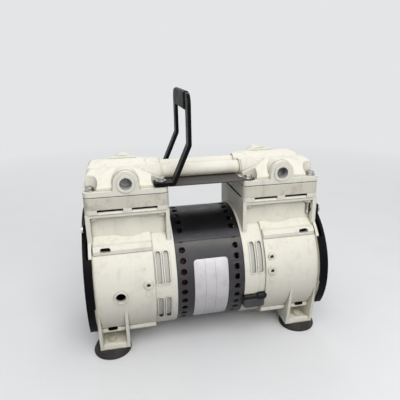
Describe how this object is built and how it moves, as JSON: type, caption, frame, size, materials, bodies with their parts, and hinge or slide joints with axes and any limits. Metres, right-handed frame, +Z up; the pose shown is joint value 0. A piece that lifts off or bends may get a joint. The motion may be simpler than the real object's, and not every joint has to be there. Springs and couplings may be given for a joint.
{
  "type": "vacuum pump",
  "caption": "Twin-head wobble-piston vacuum pump with a motor between the crank housings, fan guards, rubber feet and a carrying handle.",
  "frame": {"origin": "on the floor under the middle of the pump", "axes": "+X along the crankshaft, +Y from the ports at the front to the rear, +Z up"},
  "size_m": [0.3432, 0.1972, 0.3645],
  "materials": {
    "casting_paint": "satin ivory paint",
    "plate_paint": "satin ivory paint, a little darker",
    "black_paint": "semi-gloss black paint",
    "bridge_paint": "satin dark grey paint",
    "laminated_steel": "laminated",
    "copper": "enamelled copper wire",
    "zinc": "zinc plated",
    "bearing_steel": "ground",
    "bare_aluminium": "machined",
    "cast_iron": "as cast",
    "seal_rubber": "matt",
    "foot_rubber": "matt",
    "grip_rubber": "matt",
    "cup_plastic": "filled PTFE",
    "black_plastic": "moulded"
  },
  "bodies": {
    "pump": {"housing_left": "casting_paint", "housing_right": "casting_paint", "head_left": "casting_paint", "head_right": "casting_paint", "tube_front": "casting_paint", "tube_rear": "casting_paint", "valve_plate_left": "plate_paint", "valve_plate_right": "plate_paint", "motor_shell": "black_paint", "handle": "black_paint", "fan_guard_left": "black_paint", "fan_guard_right": "black_paint", "bridge_plate": "bridge_paint", "stator_core": "laminated_steel", "windings": "copper", "through_bolts": "zinc", "head_screws": "zinc", "guard_screws": "zinc", "foot_screws": "zinc", "reed_screws": "zinc", "main_bearing_left": "bearing_steel", "main_bearing_right": "bearing_steel", "intake_reeds": "bearing_steel", "exhaust_reeds": "bearing_steel", "cylinder_left": "bare_aluminium", "cylinder_right": "bare_aluminium", "cylinder_seals": "seal_rubber", "tube_seals": "seal_rubber", "head_gasket_left": "seal_rubber", "head_gasket_right": "seal_rubber", "foot_front_left": "foot_rubber", "foot_front_right": "foot_rubber", "foot_rear_left": "foot_rubber", "foot_rear_right": "foot_rubber", "handle_grip": "grip_rubber", "cable_gland": "black_plastic"},
    "crankshaft": {"motor_shaft": "bearing_steel", "rotor": "laminated_steel", "eccentric_left": "cast_iron", "eccentric_right": "cast_iron", "fan_left": "black_plastic", "fan_right": "black_plastic", "eccentric_screws": "zinc"},
    "left_rod": {"connecting_rod_left": "bare_aluminium", "rod_bearing_left": "bearing_steel", "piston_cup_left": "cup_plastic", "cup_retainer_left": "bare_aluminium", "retainer_screw_left": "zinc"},
    "right_rod": {"connecting_rod_right": "bare_aluminium", "rod_bearing_right": "bearing_steel", "piston_cup_right": "cup_plastic", "cup_retainer_right": "bare_aluminium", "retainer_screw_right": "zinc"}
  },
  "joints": [
    {"name": "crank_spin", "type": "hinge", "parent": "pump", "child": "crankshaft", "pos_m": [0, 0, 0.1], "axis": [1, 0, 0], "continuous": true},
    {"name": "left_rod_pivot", "type": "hinge", "parent": "crankshaft", "child": "left_rod", "pos_m": [-0.1083, 0, 0.104], "axis": [1, 0, 0], "continuous": true},
    {"name": "right_rod_pivot", "type": "hinge", "parent": "crankshaft", "child": "right_rod", "pos_m": [0.1083, 0, 0.096], "axis": [1, 0, 0], "continuous": true}
  ],
  "couplings": [
    {"joint": "left_rod_pivot", "follows": "crank_spin", "ratio": -1},
    {"joint": "right_rod_pivot", "follows": "crank_spin", "ratio": -1}
  ]
}
